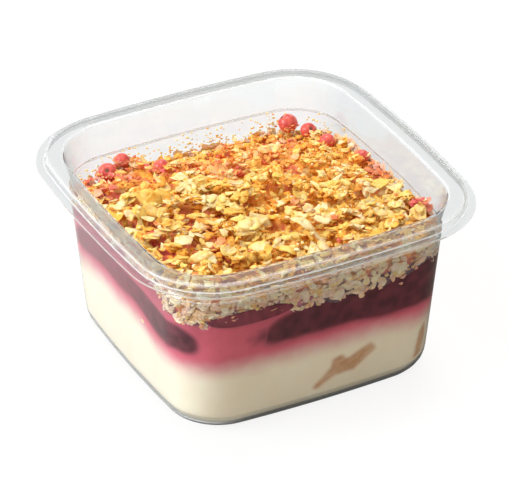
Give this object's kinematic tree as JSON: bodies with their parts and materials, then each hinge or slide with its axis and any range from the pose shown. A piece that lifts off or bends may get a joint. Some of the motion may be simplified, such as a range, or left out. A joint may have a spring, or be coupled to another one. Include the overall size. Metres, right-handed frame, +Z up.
{
  "type": "dessert cup",
  "caption": "Square clear plastic cup with rounded corners and a flat flange, filled with cream, berry sauce and compote under pastry crumbs and red berries.",
  "frame": {"origin": "middle of the cup's underside, where it rests", "axes": "+Z up, out of the cup's mouth; -Y towards the front side; the sides run along X and Y"},
  "size_m": [0.101, 0.101, 0.0527],
  "materials": {
    "clear_plastic": "clear glossy drawn plastic sheet",
    "cream": "smooth set cream",
    "berry_sauce": "pink red set berry sauce",
    "dark_compote": "dark purple stewed berries",
    "pastry_crumbs": "golden flaky pastry crumbs",
    "red_berry": "thin glossy berry skin",
    "baked_pastry": "soaked baked pastry"
  },
  "bodies": {
    "root": {"cup": "clear_plastic", "cream": "cream", "berry_sauce": "berry_sauce", "dark_compote": "dark_compote", "compote_tongue": "dark_compote", "crumb_topping": "pastry_crumbs", "red_berry_1": "red_berry", "red_berry_2": "red_berry", "red_berry_3": "red_berry", "red_berry_4": "red_berry", "red_berry_5": "red_berry", "red_berry_6": "red_berry", "red_berry_7": "red_berry", "red_berry_8": "red_berry", "red_berry_9": "red_berry", "red_berry_10": "red_berry", "dark_berry_piece": "dark_compote", "pastry_shard_1": "baked_pastry", "pastry_shard_2": "baked_pastry"}
  },
  "joints": []
}
